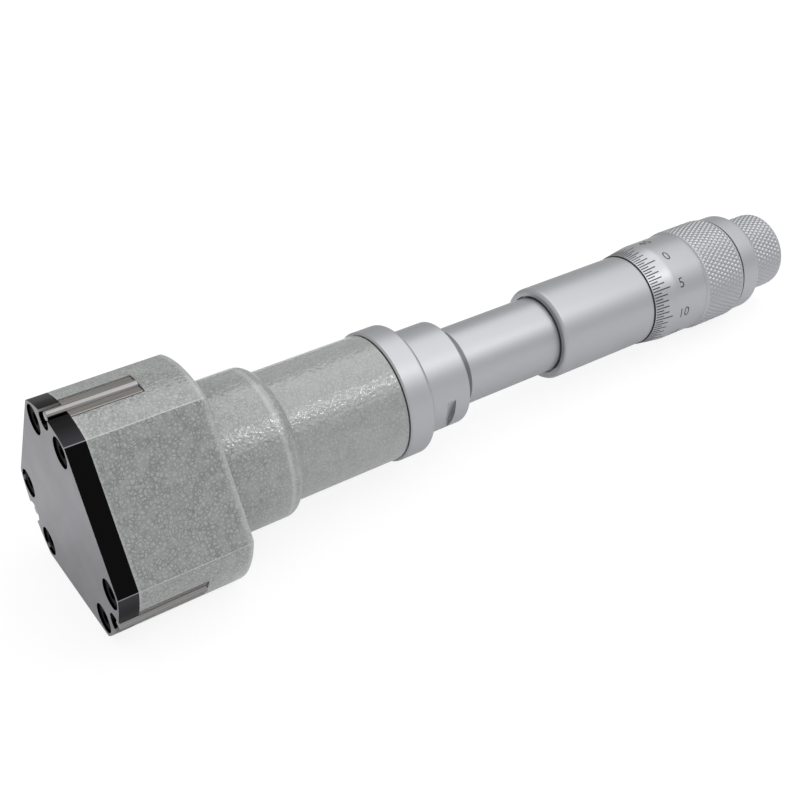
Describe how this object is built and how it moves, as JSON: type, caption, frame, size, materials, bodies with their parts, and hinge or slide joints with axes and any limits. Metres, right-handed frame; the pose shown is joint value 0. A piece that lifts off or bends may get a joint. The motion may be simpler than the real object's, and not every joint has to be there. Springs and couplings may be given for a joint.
{
  "type": "inside micrometer",
  "caption": "Three-point inside micrometer: a cone driven by the thimble screw pushes three anvils out of a cornered cast head to gauge a bore.",
  "frame": {"origin": "centre of the cover plate's front face, on the instrument's axis", "axes": "+X along the axis from the head to the ratchet knob, +Z through the upper corner of the head"},
  "size_m": [0.1944, 0.0486, 0.0445],
  "materials": {
    "hammer_paint": "hammered gloss",
    "blackened_steel": "black oxide, ground front face",
    "black_screws": "black oxide",
    "satin_chrome": "satin",
    "ground_steel": "ground",
    "hard_metal": "lapped",
    "spring_steel": "drawn",
    "bronze": "turned"
  },
  "bodies": {
    "root": {"head_housing": "hammer_paint", "cover_plate": "blackened_steel", "cover_screws": "black_screws", "collar_ring": "satin_chrome", "lock_nut": "satin_chrome", "guide_tube": "satin_chrome", "scale_sleeve": "satin_chrome", "spindle_nut": "bronze", "adjusting_nut": "ground_steel", "rod_bush_front": "bronze", "rod_bush_rear": "bronze", "rod_key": "ground_steel", "return_spring_1": "spring_steel", "return_spring_2": "spring_steel", "return_spring_3": "spring_steel"},
    "cone_slider": {"measuring_cone": "ground_steel", "push_rod": "ground_steel", "thrust_ball": "ground_steel"},
    "anvil_1": {"measuring_anvil_1": "ground_steel", "contact_pin_1": "hard_metal"},
    "anvil_2": {"measuring_anvil_2": "ground_steel", "contact_pin_2": "hard_metal"},
    "anvil_3": {"measuring_anvil_3": "ground_steel", "contact_pin_3": "hard_metal"},
    "thimble": {"spindle": "ground_steel", "thimble": "satin_chrome", "thimble_cap": "satin_chrome", "ratchet_disc": "ground_steel", "ratchet_spring": "spring_steel", "ratchet_screw": "ground_steel"},
    "ratchet": {"ratchet_knob": "satin_chrome"}
  },
  "joints": [
    {"name": "thimble_turn", "type": "hinge", "parent": "cone_slider", "child": "thimble", "pos_m": [0.15, 0, 0], "axis": [-1, 0, 0], "range_deg": [0, 9360]},
    {"name": "cone_travel", "type": "slide", "parent": "root", "child": "cone_slider", "axis": [-1, 0, 0], "range_m": [0, 0.013]},
    {"name": "ratchet_turn", "type": "hinge", "parent": "thimble", "child": "ratchet", "pos_m": [0.188, 0, 0], "axis": [-1, 0, 0], "continuous": true},
    {"name": "anvil_travel_1", "type": "slide", "parent": "root", "child": "anvil_1", "axis": [0, 0, 1], "range_m": [0, 0.0065], "deforming": ["return_spring_1"]},
    {"name": "anvil_travel_2", "type": "slide", "parent": "root", "child": "anvil_2", "axis": [0, -0.866, -0.5], "range_m": [0, 0.0065], "deforming": ["return_spring_2"]},
    {"name": "anvil_travel_3", "type": "slide", "parent": "root", "child": "anvil_3", "axis": [0, 0.866, -0.5], "range_m": [0, 0.0065], "deforming": ["return_spring_3"]}
  ],
  "couplings": [
    {"joint": "thimble_turn", "follows": "cone_travel", "rad_per_m": 12566},
    {"joint": "anvil_travel_1", "follows": "cone_travel", "ratio": 0.5},
    {"joint": "anvil_travel_2", "follows": "cone_travel", "ratio": 0.5},
    {"joint": "anvil_travel_3", "follows": "cone_travel", "ratio": 0.5}
  ]
}
